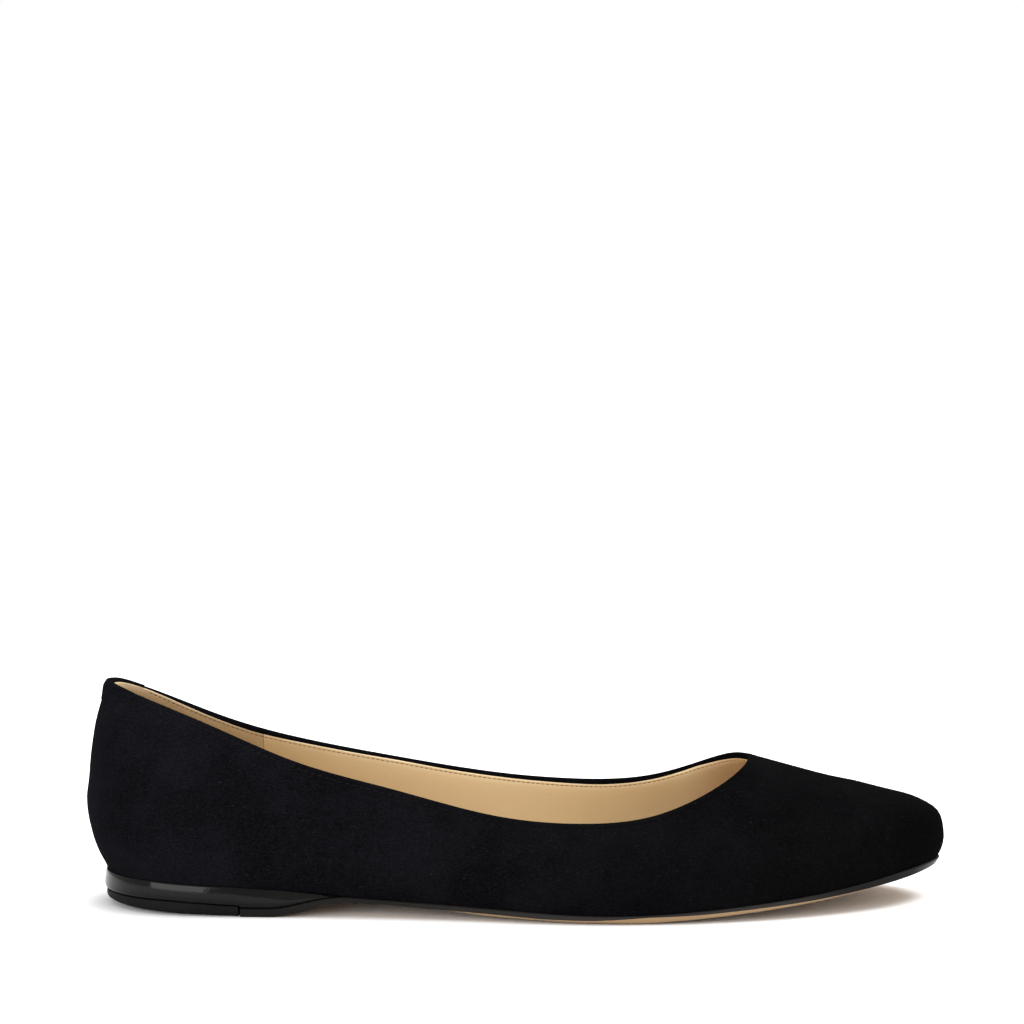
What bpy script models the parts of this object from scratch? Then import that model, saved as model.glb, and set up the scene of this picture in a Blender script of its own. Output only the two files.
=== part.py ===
"""Almond toe flat, the right shoe: suede upper, leather outsole and a low wedge heel.

X runs from the heel to the toe, Y from the outer side of the foot to the inner side, and Z up
from the floor. The origin is on the floor, at the middle of the shoe's length and width.
"""
from collections import namedtuple

import bmesh
import bpy
import numpy as np

# Driving dimensions, in millimetres
MM = 0.001
LENGTH = 256.0
BALL_WIDTH = 78.0
BACK_HEIGHT = 66.0
WALL = 1.8
GAP = 0.3

# Stations around the shoe, each a rib from the sole line up to the collar. Places along are in
# percent of LENGTH, places across in percent of BALL_WIDTH, heights in percent of BACK_HEIGHT.
# The arch lifts the inner side, and edge is the upright part of the sole's edge in millimetres.
SoleLine = namedtuple("SoleLine", "station along outer inner height arch edge")
SOLE_LINE = (
    SoleLine("heel back", 2.5, 0.0, 0.0, 14.7, 0.0, 2.0),
    SoleLine("heel turn", 4.9, 20.7, 20.7, 14.3, 0.0, 2.0),
    SoleLine("heel side", 9.0, 30.6, 30.3, 13.6, 0.0, 2.0),
    SoleLine("seat", 15.6, 34.9, 34.2, 12.4, 0.0, 2.0),
    SoleLine("shank", 25.0, 36.2, 33.3, 10.9, 0.9, 2.0),
    SoleLine("waist", 35.9, 38.6, 30.6, 8.3, 1.8, 1.8),
    SoleLine("joint", 46.9, 44.3, 31.8, 6.0, 1.2, 1.5),
    SoleLine("ball back", 55.9, 49.3, 38.4, 4.2, 0.0, 1.2),
    SoleLine("ball", 64.8, 50.2, 46.8, 4.3, 0.0, 1.0),
    SoleLine("ball front", 74.2, 45.6, 50.0, 6.6, 0.0, 1.1),
    SoleLine("vamp", 83.2, 36.4, 45.8, 9.8, 0.0, 1.2),
    SoleLine("toe side", 91.4, 23.2, 35.6, 14.4, 0.0, 1.3),
    SoleLine("toe turn", 96.9, 8.4, 22.4, 17.7, 0.0, 1.5),
    SoleLine("toe tip", 99.3, -7.0, 7.0, 18.8, 0.0, 1.6),
)
Collar = namedtuple("Collar", "station along outer inner outer_height inner_height")
COLLAR = (
    Collar("heel back", 2.4, 0.0, 0.0, 98.6, 98.6),
    Collar("heel turn", 4.3, 13.2, 12.8, 98.0, 97.4),
    Collar("heel side", 8.6, 19.8, 18.8, 92.8, 90.9),
    Collar("seat", 15.6, 25.0, 23.2, 82.4, 79.6),
    Collar("shank", 25.0, 29.9, 27.4, 67.7, 68.6),
    Collar("waist", 35.9, 33.9, 29.4, 56.4, 59.8),
    Collar("joint", 46.5, 37.2, 31.8, 46.4, 52.5),
    Collar("ball back", 54.7, 38.9, 35.0, 42.8, 49.1),
    Collar("ball", 62.5, 38.4, 37.5, 43.6, 48.6),
    Collar("ball front", 68.6, 33.8, 35.8, 49.2, 52.9),
    Collar("vamp", 73.2, 25.0, 27.5, 56.8, 60.3),
    Collar("toe side", 76.0, 13.2, 18.8, 62.5, 64.5),
    Collar("toe turn", 77.1, 2.4, 12.2, 64.8, 65.2),
    Collar("toe tip", 77.4, -7.4, 7.4, 65.5, 65.5),
)
# The wall between them: how far it swells past the sole line, at what height above it, how high
# its shoulder lies between there and the collar, how sharply it turns at that shoulder, and how
# far it hollows between shoulder and collar.
Wall = namedtuple("Wall", "station swell rise shoulder fullness hollow")
WALLS = (
    Wall("heel back", 6.4, 21.0, 0.50, 1.0, 0.0),
    Wall("heel turn", 5.8, 19.5, 0.50, 1.0, 0.0),
    Wall("heel side", 4.8, 17.5, 0.50, 1.0, 0.0),
    Wall("seat", 3.8, 15.0, 0.50, 1.0, 0.0),
    Wall("shank", 3.2, 12.0, 0.50, 1.0, 0.0),
    Wall("waist", 2.9, 10.5, 0.50, 1.0, 0.0),
    Wall("joint", 2.5, 9.0, 0.50, 1.1, 0.0),
    Wall("ball back", 2.2, 8.0, 0.47, 1.25, 0.0),
    Wall("ball", 2.0, 7.5, 0.45, 1.4, 0.0),
    Wall("ball front", 2.0, 7.2, 0.46, 1.7, 0.1),
    Wall("vamp", 2.0, 7.0, 0.48, 2.1, 0.3),
    Wall("toe side", 1.9, 6.6, 0.46, 2.7, 0.8),
    Wall("toe turn", 1.8, 6.3, 0.44, 3.3, 1.3),
    Wall("toe tip", 1.8, 6.2, 0.43, 3.5, 1.5),
)
TUCK = 0.4                  # corner of the rolled lower wall, as a share of the swell's rise
SAG_PEAK = 0.75 ** 3 * 0.25  # greatest value of the hollow's curve, three quarters of the way up

# Ribs of the upper and steps up each rib
RIBS_A_SIDE = 46
CROWDING = 0.4              # how much closer the ribs stand at heel and toe
LOWER_STEPS = 3
UPPER_STEPS = 9
RIM_ANGLES = (45.0, 90.0, 135.0)
NUDGE = 0.05                # step each way to find which way the sole line runs, in millimetres
SEARCH_STEPS = 600
SHARP_ANGLE = 35.0          # edges that turn more than this stay crisp, in degrees

# Sole and heel, in millimetres
SOLE_THICKNESS = 2.6
SOLE_PROUD = 0.5
BEVEL_WIDTH = 3.2
BEVEL_SHARE = 0.3           # most of the sole's width that one bevel takes
EDGE_SHARE = 0.85           # most of the sole's thickness that its upright edge takes
TIP_HALF_WIDTH = 1.2
LEAST_STEP = 1.0            # least distance from a piece's end to its next section
LIFT_LENGTH = 48.0
LIFT_HEIGHT = 3.1
LIFT_BEVEL = 1.4
HEEL_BELLY = 0.9
FLAP_FLOOR_END = 56.0
FLAP_MEETS_UPPER = 80.0
WEDGE_LENGTH = 73.0
WEDGE_TIP = 0.5
INSOLE_THICKNESS = 2.2

# Back tab, folded over the collar at the heel, in millimetres
TAB_THICKNESS = 0.6
TAB_HEM = 0.3               # thickness at its lower edge outside
TAB_REACH = 24.0
TAB_OUTER_DROP = 5.0
TAB_TAPER = 0.4             # share of the outer drop lost at the tab's ends
TAB_BEND = 0.4              # where its outside starts to thin, as a share of the drop
TAB_INNER_DROP = 1.6
TAB_SECTIONS = 15
TAB_STEPS = 60

# Colours and roughness of the pieces
SUEDE = ((0.012, 0.012, 0.014), 0.95)
LINING = ((0.62, 0.40, 0.20), 0.55)
SOLE_LEATHER = ((0.58, 0.36, 0.17), 0.5)
LACQUER = ((0.02, 0.019, 0.018), 0.25)
RUBBER = ((0.015, 0.015, 0.015), 0.7)

# Columns of a station's row of values
FOOT = slice(0, 3)
TOP = slice(3, 6)
SHAPE = slice(6, 11)
EDGE = 11

UP = np.array((0.0, 0.0, 1.0))


class ClosedCurve:
    """A smooth closed curve through rows of values, one row for each place on its loop."""

    def __init__(self, places, values, period):
        self.places = np.append(places, period)
        self.values = np.vstack((values, values[:1]))
        self.period = period
        count = len(places)
        steps = np.diff(self.places)
        matrix = np.zeros((count, count))
        target = np.zeros(values.shape)
        for i in range(count):
            before, after = steps[i - 1], steps[i]
            rise_before = (self.values[i] - self.values[i - 1 if i else count - 1]) / before
            rise_after = (self.values[i + 1] - self.values[i]) / after
            matrix[i, i - 1] += 1.0 / before
            matrix[i, i] += 2.0 / before + 2.0 / after
            matrix[i, (i + 1) % count] += 1.0 / after
            target[i] = 3.0 * (rise_before / before + rise_after / after)
        slopes = np.linalg.solve(matrix, target)
        self.slopes = np.vstack((slopes, slopes[:1]))

    def at(self, places):
        """Values at any places around the loop."""
        places = np.mod(np.asarray(places, dtype=float), self.period)
        i = np.clip(np.searchsorted(self.places, places, side="right") - 1, 0, len(self.places) - 2)
        width = (self.places[i + 1] - self.places[i])[:, None]
        t = (places - self.places[i])[:, None] / width
        low, high = self.values[i], self.values[i + 1]
        slope_low, slope_high = self.slopes[i] * width, self.slopes[i + 1] * width
        rest = 1.0 - t
        return (low * (1.0 + 2.0 * t) * rest ** 2 + slope_low * t * rest ** 2
                + high * (3.0 - 2.0 * t) * t ** 2 - slope_high * rest * t ** 2)


def station_values():
    """One row of sizes for each station round the shoe: outer side to the toe, then inner side back."""
    rows = {"outer": [], "inner": []}
    for sole, collar, wall in zip(SOLE_LINE, COLLAR, WALLS):
        for side, sign in (("outer", -1.0), ("inner", 1.0)):
            arch = sole.arch if side == "inner" else 0.0
            collar_height = getattr(collar, side + "_height") * BACK_HEIGHT / 100.0 - WALL / 2.0
            rows[side].append((
                sole.along * LENGTH / 100.0,
                sign * getattr(sole, side) * BALL_WIDTH / 100.0,
                (sole.height + arch) * BACK_HEIGHT / 100.0,
                collar.along * LENGTH / 100.0,
                sign * getattr(collar, side) * BALL_WIDTH / 100.0,
                collar_height,
                wall.swell,
                wall.rise,
                wall.shoulder,
                wall.fullness,
                wall.hollow,
                sole.edge,
            ))
    return np.array(rows["outer"]), np.array(rows["inner"])


def loop_of_stations():
    """The closed curve of all stations, and the place of the toe tip on it."""
    outer, inner = station_values()
    middle = np.column_stack((outer[:, 0], (inner[:, 1] - outer[:, 1]) / 2.0))
    chords = np.linalg.norm(np.diff(middle, axis=0), axis=1)
    places = np.concatenate(((0.0,), np.cumsum(chords)))
    toe = places[-1]
    loop = np.concatenate((places, 2.0 * toe - places[-2:0:-1]))
    return ClosedCurve(loop, np.vstack((outer, inner[-2:0:-1])), 2.0 * toe), toe


LOOP, TOE = loop_of_stations()


def outward(places):
    """Level directions that point straight out of the sole line."""
    ahead = LOOP.at(np.asarray(places) + NUDGE)[:, :2]
    behind = LOOP.at(np.asarray(places) - NUDGE)[:, :2]
    run = ahead - behind
    run /= np.linalg.norm(run, axis=1)[:, None]
    return np.column_stack((run[:, 1], -run[:, 0], np.zeros(len(run))))


def conic(start, corner, end, weight, steps):
    """Points of an arc from start to end that bends towards its corner, the more the greater the weight."""
    t = np.asarray(steps)[None, :, None]
    first = (1.0 - t) ** 2
    middle = 2.0 * np.asarray(weight)[:, None, None] * t * (1.0 - t)
    last = t ** 2
    total = first + middle + last
    return (first * start[:, None] + middle * corner[:, None] + last * end[:, None]) / total


def ribs(places, lower_steps, upper_steps):
    """Points up the outside of the upper at each place: under the swell, then over it to the collar."""
    row = LOOP.at(places)
    foot, top = row[:, FOOT], row[:, TOP]
    swell, rise, shoulder, fullness, hollow = row[:, SHAPE].T
    base = foot + outward(places) * swell[:, None]
    widest = base + UP * rise[:, None]
    tuck = base + UP * (TUCK * rise)[:, None]
    corner = widest + UP * (shoulder * (top[:, 2] - widest[:, 2]))[:, None]
    lower = conic(foot, tuck, widest, np.ones(len(row)), lower_steps)
    upper = conic(widest, corner, top, fullness, upper_steps)
    sag = np.asarray(upper_steps) ** 3 * (1.0 - np.asarray(upper_steps)) / SAG_PEAK
    upper -= UP * (hollow[:, None] * sag)[:, :, None]
    return np.concatenate((lower, upper[:, 1:]), axis=1)


def facing(grid, closed):
    """Outward unit directions at each point of a grid of ribs."""
    if closed:
        along = np.roll(grid, -1, axis=0) - np.roll(grid, 1, axis=0)
    else:
        along = np.gradient(grid, axis=0)
    across = np.gradient(grid, axis=1)
    normal = np.cross(along, across)
    return normal / np.linalg.norm(normal, axis=2)[:, :, None]


def rim(outer, inner, climb):
    """Points of the half-round fold from the top of the outer wall to the top of the inner one."""
    middle = (outer + inner) / 2.0
    reach = (outer - inner) / 2.0
    radius = np.linalg.norm(reach, axis=1)[:, None]
    turns = np.radians(RIM_ANGLES)
    return np.stack([middle + reach * np.cos(turn) + climb * radius * np.sin(turn) for turn in turns], axis=1)


def unit(vectors):
    """Vectors scaled to length one."""
    return vectors / np.linalg.norm(vectors, axis=-1, keepdims=True)


def rib_places():
    """Places of the ribs all round the loop, closer together round the heel and the toe."""
    turn = np.arange(2 * RIBS_A_SIDE) / RIBS_A_SIDE
    return TOE * (turn - CROWDING * np.sin(2.0 * np.pi * turn) / (2.0 * np.pi))


def upper_rings():
    """Closed wall profile of the upper at each rib: outside, folded rim, inside."""
    grid = ribs(rib_places(), np.linspace(0.0, 1.0, LOWER_STEPS + 1), np.linspace(0.0, 1.0, UPPER_STEPS + 1))
    inner = grid - facing(grid, True) * WALL
    inner[:, 0] = grid[:, 0] - outward(rib_places()) * WALL
    fold = rim(grid[:, -1], inner[:, -1], unit(grid[:, -1] - grid[:, -2]))
    return np.concatenate((grid, fold, inner[:, ::-1]), axis=1)


RINGS = upper_rings()
ORIGIN = np.append((RINGS.min(axis=(0, 1)) + RINGS.max(axis=(0, 1)))[:2] / 2.0, 0.0)


def place_of(along):
    """Place on the outer half of the loop whose sole line lies at a distance from the heel."""
    fine = np.linspace(0.0, TOE, SEARCH_STEPS)
    return float(np.interp(along, LOOP.at(fine)[:, 0], fine))


def sole_pair(place, proud):
    """Points on the outer and inner sole line at one station, moved outwards by a distance."""
    both = np.array((place, 2.0 * TOE - place))
    return LOOP.at(both)[:, FOOT] + outward(both) * proud


def sole_places(start, end):
    """Places from one on the outer half of the loop to another, with the ribs' own spacing between."""
    inside = [place for place in rib_places() if start + LEAST_STEP < place < end - LEAST_STEP]
    return [start] + inside + [end]


def ease(value, low, high):
    """Smooth step from 0 at low to 1 at high."""
    t = min(max((value - low) / (high - low), 0.0), 1.0)
    return t * t * (3.0 - 2.0 * t)


def sole_top(point):
    """Height of the outsole's upper face under a point of the sole line."""
    under_upper = point[2] - GAP
    return SOLE_THICKNESS + (under_upper - SOLE_THICKNESS) * ease(point[0], FLAP_FLOOR_END, FLAP_MEETS_UPPER)


def at_height(point, height):
    """The point at another height."""
    return np.array((point[0], point[1], height))


def outsole_section(place):
    """Cross-section of the outsole: top, edge, and a bevel down to the tread."""
    outer, inner = sole_pair(place, SOLE_PROUD)
    width = inner[1] - outer[1]
    bevel = min(BEVEL_WIDTH, BEVEL_SHARE * width)
    tread_outer, tread_inner = sole_pair(place, SOLE_PROUD - bevel)
    tops = [sole_top(point) for point in (outer, inner)]
    treads = [max(0.0, top - SOLE_THICKNESS) for top in tops]
    edge = LOOP.at([place])[0, EDGE]
    edges = [top - min(edge, (top - tread) * EDGE_SHARE) for top, tread in zip(tops, treads)]
    return [at_height(outer, tops[0]), at_height(inner, tops[1]), at_height(inner, edges[1]),
            at_height(tread_inner, treads[1]), at_height(tread_outer, treads[0]), at_height(outer, edges[0])]


def heel_section(place):
    """Cross-section of the heel block: full at its middle, on the lift or the outsole below it."""
    outer, inner = sole_pair(place, SOLE_PROUD)
    belly_outer, belly_inner = sole_pair(place, HEEL_BELLY)
    floors = []
    for point in (outer, inner):
        on_lift = point[0] < LIFT_LENGTH
        floors.append((LIFT_HEIGHT if on_lift else sole_top(point)) + GAP)
    tops = [max(point[2] - GAP, floor + WEDGE_TIP) for point, floor in zip((outer, inner), floors)]
    middles = [(top + floor) / 2.0 for top, floor in zip(tops, floors)]
    return [at_height(outer, tops[0]), at_height(inner, tops[1]), at_height(belly_inner, middles[1]),
            at_height(inner, floors[1]), at_height(outer, floors[0]), at_height(belly_outer, middles[0])]


def lift_section(place):
    """Cross-section of the top lift: a slab with its lower edge rounded off."""
    outer, inner = sole_pair(place, SOLE_PROUD)
    tread_outer, tread_inner = sole_pair(place, SOLE_PROUD - LIFT_BEVEL)
    return [at_height(outer, LIFT_HEIGHT), at_height(inner, LIFT_HEIGHT), at_height(inner, LIFT_BEVEL),
            at_height(tread_inner, 0.0), at_height(tread_outer, 0.0), at_height(outer, LIFT_BEVEL)]


def insole_section(place):
    """Cross-section of the insole, inside the upper's wall."""
    outer, inner = sole_pair(place, -WALL - GAP)
    lift = UP * INSOLE_THICKNESS
    return [outer + lift, inner + lift, inner, outer]


def tab_sections():
    """Cross-sections of the back tab: the upper's own wall, one gap out, from outside to inside."""
    places = np.linspace(-TAB_REACH, TAB_REACH, TAB_SECTIONS)
    grid = ribs(places, np.linspace(0.0, 1.0, LOWER_STEPS + 1), np.linspace(0.0, 1.0, TAB_STEPS + 1))
    normals = facing(grid, False)
    sections = []
    for rib, normal, place in zip(grid, normals, places):
        drop = TAB_OUTER_DROP * (1.0 - TAB_TAPER * (place / TAB_REACH) ** 2)
        climb = unit(rib[-1] - rib[-2])[None]
        layers = []
        for hem, thickness in ((0.0, 0.0), (TAB_HEM, TAB_THICKNESS)):
            outside = [wall_point(rib, normal, drop, GAP + hem),
                       wall_point(rib, normal, drop * TAB_BEND, GAP + (hem + thickness) / 2.0),
                       wall_point(rib, normal, 0.0, GAP + thickness)]
            inside = [wall_point(rib, normal, depth, -WALL - GAP - thickness) for depth in (0.0, TAB_INNER_DROP)]
            fold = list(rim(outside[-1][None], inside[0][None], climb)[0])
            layers.append(outside + fold + inside)
        under, over = layers
        sections.append(over + under[::-1])
    return sections


def wall_point(rib, normal, depth, out):
    """Point a distance down the wall from the collar and a distance out from it."""
    runs = np.linalg.norm(np.diff(rib[::-1], axis=0), axis=1)
    depths = np.concatenate(((0.0,), np.cumsum(runs)))
    spot = np.array([np.interp(depth, depths, rib[::-1, axis]) for axis in range(3)])
    face = np.array([np.interp(depth, depths, normal[::-1, axis]) for axis in range(3)])
    return spot + unit(face) * out


def add_ring(mesh, points):
    """A closed ring of edges through points given in shoe millimetres."""
    verts = [mesh.verts.new((point - ORIGIN) * MM) for point in points]
    return [mesh.edges.new((verts[i - 1], vert)) for i, vert in enumerate(verts)]


def solid(name, sections, closed, material):
    """One closed solid through a row of ring sections, joined end to end or capped."""
    mesh = bmesh.new()
    rings = [add_ring(mesh, section) for section in sections]
    for first, second in zip(rings, rings[1:]):
        bmesh.ops.bridge_loops(mesh, edges=first + second)
    if closed:
        bmesh.ops.bridge_loops(mesh, edges=rings[-1] + rings[0])
    else:
        bmesh.ops.contextual_create(mesh, geom=rings[0])
        bmesh.ops.contextual_create(mesh, geom=rings[-1])
    bmesh.ops.recalc_face_normals(mesh, faces=mesh.faces)
    bmesh.ops.triangulate(mesh, faces=mesh.faces)
    data = bpy.data.meshes.new(name)
    mesh.to_mesh(data)
    mesh.free()
    data.shade_smooth()
    data.set_sharp_from_angle(angle=np.radians(SHARP_ANGLE))
    data.materials.append(material)
    part = bpy.data.objects.new(name, data)
    bpy.context.scene.collection.objects.link(part)
    return part


def finish(name, look):
    """A Principled material from a colour and a roughness."""
    colour, roughness = look
    material = bpy.data.materials.new(name)
    material.use_nodes = True
    shader = material.node_tree.nodes["Principled BSDF"]
    shader.inputs["Base Color"].default_value = (*colour, 1.0)
    shader.inputs["Roughness"].default_value = roughness
    shader.inputs["Metallic"].default_value = 0.0
    return material


def clear_scene():
    """Remove whatever the scene starts with."""
    for old in list(bpy.data.objects):
        bpy.data.objects.remove(old, do_unlink=True)


def main():
    """Build each piece of the shoe and hang it on one empty."""
    clear_scene()
    shoe = bpy.data.objects.new("almond_toe_flat", None)
    bpy.context.scene.collection.objects.link(shoe)
    heel_start = TIP_HALF_WIDTH
    toe_end = TOE - TIP_HALF_WIDTH
    lift_end = place_of(LIFT_LENGTH - GAP)
    flap_start = place_of(LIFT_LENGTH)
    wedge_end = place_of(WEDGE_LENGTH)
    suede = finish("black_suede", SUEDE)
    pieces = (
        solid("upper", list(RINGS), True, suede),
        solid("back_tab", tab_sections(), False, suede),
        solid("insole", [insole_section(p) for p in sole_places(heel_start, toe_end)], False,
              finish("tan_lining", LINING)),
        solid("outsole", [outsole_section(p) for p in sole_places(flap_start, toe_end)], False,
              finish("tan_sole_leather", SOLE_LEATHER)),
        solid("heel_block", [heel_section(p) for p in sole_places(heel_start, wedge_end)], False,
              finish("black_lacquer", LACQUER)),
        solid("top_lift", [lift_section(p) for p in sole_places(heel_start, lift_end)], False,
              finish("black_rubber", RUBBER)),
    )
    for piece in pieces:
        piece.parent = shoe


main()
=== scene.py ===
"""Looks of an almond toe flat: suede upper, tan lining, stitching, lacquered sole edge, light and camera.

X runs from heel to toe, Y from the outer side of the foot to the inner side, and Z up from the floor.
Sizes are in metres, written as millimetres times MM. Profiles, creases and the rows of a section hold
plain millimetres or shares.
"""
import logging
import math
from dataclasses import dataclass
from enum import Enum
from typing import Iterable, Optional, Sequence

import bmesh
import bpy
import numpy as np
from mathutils import Matrix, Vector


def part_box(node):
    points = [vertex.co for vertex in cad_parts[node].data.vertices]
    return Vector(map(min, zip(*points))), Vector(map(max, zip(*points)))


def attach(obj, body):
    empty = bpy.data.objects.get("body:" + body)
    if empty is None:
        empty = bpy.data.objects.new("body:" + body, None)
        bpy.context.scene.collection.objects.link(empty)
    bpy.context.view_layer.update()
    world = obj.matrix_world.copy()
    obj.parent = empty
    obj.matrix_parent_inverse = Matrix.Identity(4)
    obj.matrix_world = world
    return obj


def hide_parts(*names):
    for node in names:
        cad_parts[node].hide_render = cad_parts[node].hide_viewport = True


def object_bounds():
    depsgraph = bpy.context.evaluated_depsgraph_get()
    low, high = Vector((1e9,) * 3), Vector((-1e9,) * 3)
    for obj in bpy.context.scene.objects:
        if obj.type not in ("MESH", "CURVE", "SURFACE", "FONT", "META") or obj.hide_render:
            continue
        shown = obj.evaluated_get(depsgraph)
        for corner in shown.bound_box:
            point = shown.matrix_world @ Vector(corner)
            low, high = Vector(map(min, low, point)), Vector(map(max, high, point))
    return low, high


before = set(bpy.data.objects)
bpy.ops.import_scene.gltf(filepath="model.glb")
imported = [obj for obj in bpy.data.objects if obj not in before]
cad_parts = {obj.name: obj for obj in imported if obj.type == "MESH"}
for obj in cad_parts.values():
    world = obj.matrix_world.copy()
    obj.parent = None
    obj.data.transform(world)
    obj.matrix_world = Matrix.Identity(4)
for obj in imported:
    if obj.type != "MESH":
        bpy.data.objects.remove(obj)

LOG = logging.getLogger("almond_toe_flat")
Colour = tuple[float, float, float]
Point = tuple[float, float, float]
Pairs = tuple[tuple[float, float], ...]
Spread = np.ndarray | float
Material = bpy.types.Material
Node = bpy.types.Node
NodeTree = bpy.types.NodeTree
Socket = bpy.types.NodeSocket
MM = 0.001
BODY = "root"
CAD_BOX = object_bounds()
HEEL_X = CAD_BOX[0].x
SHARP_ANGLE = math.radians(40.0)
WELD = 0.001 * MM
UP = np.array((0.0, 0.0, 1.0))
NAP_LEAN = (0.5, 1.0, 1.0)
TUFTS_PER_FIBRE = 0.22
SPECKS_PER_FIBRE = 0.8
BENDS_PER_CELL = 0.5
BEND_IN_CELLS = 0.6
BUMPS_PER_CELL = 2.5
PORES_PER_CELL = 0.7


class Side(Enum):
    """The two faces of the upper's wall."""

    OUTSIDE = "outside"
    INSIDE = "inside"


class Slot(Enum):
    """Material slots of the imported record."""

    SUEDE = "black_suede"
    LINING = "tan_lining"
    SOLE = "tan_sole_leather"
    LACQUER = "black_lacquer"
    RUBBER = "black_rubber"


def unit(vectors: np.ndarray) -> np.ndarray:
    """Return vectors scaled to length one."""
    return vectors / np.linalg.norm(vectors, axis=-1, keepdims=True)


def smooth_at(values: np.ndarray, places: np.ndarray, closed: bool) -> np.ndarray:
    """Read a smooth curve through rows of values.

    Args:
        values: Rows of values, one for each whole place.
        places: Places to read, counted in rows.
        closed: Whether the last row runs on into the first.

    Returns:
        The values at the places.
    """
    count = len(values)
    low = np.floor(places).astype(int)
    if not closed:
        low = np.clip(low, 0, count - 2)
    t = (places - low).reshape((-1,) + (1,) * (values.ndim - 1))
    rows = [low + step for step in (-1, 0, 1, 2)]
    if closed:
        before, first, second, after = (values[row % count] for row in rows)
    else:
        before, first, second, after = (values[np.clip(row, 0, count - 1)] for row in rows)
    bend = 2.0 * before - 5.0 * first + 4.0 * second - after
    swing = 3.0 * (first - second) + after - before
    return first + 0.5 * t * (second - before + t * (bend + t * swing))


def ease(values: np.ndarray, low: float, high: float) -> np.ndarray:
    """Return a smooth step from 0 at low to 1 at high."""
    t = np.clip((np.asarray(values) - low) / (high - low), 0.0, 1.0)
    return t * t * (3.0 - 2.0 * t)


def loops_of(edges: Iterable[bmesh.types.BMEdge]) -> list[list]:
    """Sort edges into closed loops.

    Args:
        edges: Edges of one or more closed loops.

    Returns:
        The vertices of each loop, in order.
    """
    near: dict = {}
    for edge in edges:
        for vertex in edge.verts:
            near.setdefault(vertex, []).append(edge.other_vert(vertex))
    loops = []
    while near:
        loop = []
        ahead = [next(iter(near))]
        while ahead:
            loop.append(ahead[0])
            ahead = [vertex for vertex in near.pop(loop[-1]) if vertex in near]
        loops.append(loop)
    return loops


def turned(row: np.ndarray, model: np.ndarray) -> np.ndarray:
    """Turn or reverse a closed row of points so that each lies nearest to its fellow in another row."""
    choices = [np.roll(way, shift, axis=0) for way in (row, row[::-1]) for shift in range(len(row))]
    return min(choices, key=lambda choice: float(((choice - model) ** 2).sum()))


@dataclass
class WallFace:
    """One face of the wall at some ribs, as fine points from the top of the rim down to the foot.

    Attributes:
        points: Points by rib and by step down the rib.
        normals: Directions out of the face at those points.
        depths: Distance of each point from the top of the rim, down the wall.
    """

    points: np.ndarray
    normals: np.ndarray
    depths: np.ndarray

    @property
    def length(self) -> np.ndarray:
        """Length of each rib from the top of the rim to the foot."""
        return self.depths[:, -1]

    def at(self, depth: Spread, out: Spread = 0.0) -> np.ndarray:
        """Read one point of each rib.

        Args:
            depth: Distance down from the top of the rim, one for all ribs or one each.
            out: Distance out of the face, one for all ribs or one each.

        Returns:
            One point for each rib.
        """
        count = len(self.points)
        depth = np.broadcast_to(depth, count)
        out = np.broadcast_to(out, count)
        found = np.empty((count, 3))
        for i in range(count):
            for axis in range(3):
                spot = np.interp(depth[i], self.depths[i], self.points[i, :, axis])
                lean = np.interp(depth[i], self.depths[i], self.normals[i, :, axis])
                found[i, axis] = spot + lean * out[i]
        return found


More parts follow.
